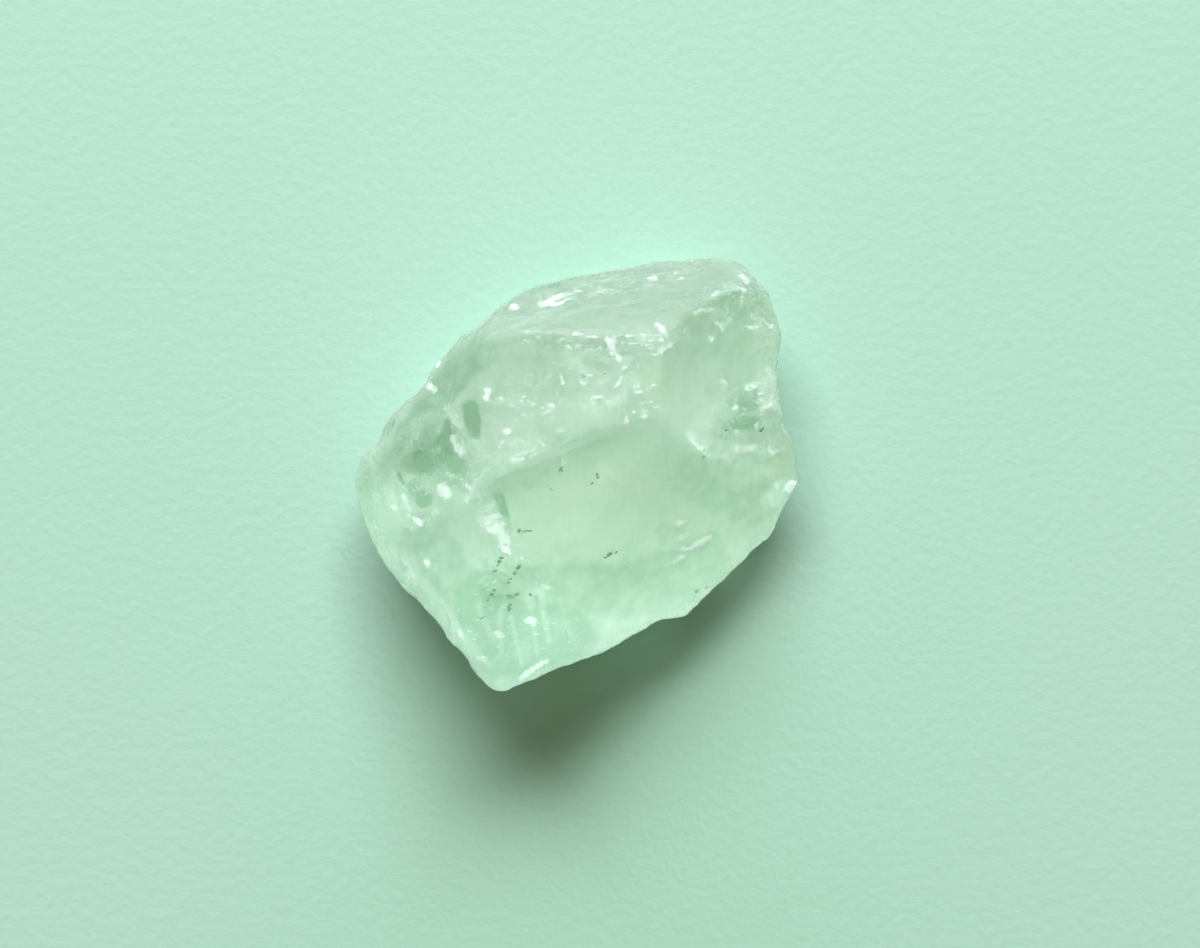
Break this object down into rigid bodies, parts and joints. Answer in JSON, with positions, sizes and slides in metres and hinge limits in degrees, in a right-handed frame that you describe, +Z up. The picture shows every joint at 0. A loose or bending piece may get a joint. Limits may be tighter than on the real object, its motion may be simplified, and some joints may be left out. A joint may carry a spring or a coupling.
{
  "type": "alum stone",
  "caption": "Raw lump of clear, milky alum crystal with broken faces and a scooped shoulder, lying on a flat break.",
  "frame": {"origin": "on the table under the middle of the stone's box, in the plane of the flat break it rests on", "axes": "+Z up out of the flat break, +X to the blunt right point, +Y to the back, away from the sharp front tip"},
  "size_m": [0.0446, 0.043, 0.023],
  "materials": {
    "alum_crystal": "natural fracture, see-through crystal clouded by inner veils, soft shine with rougher hackly patches"
  },
  "bodies": {
    "root": {"alum_stone": "alum_crystal"}
  },
  "joints": []
}
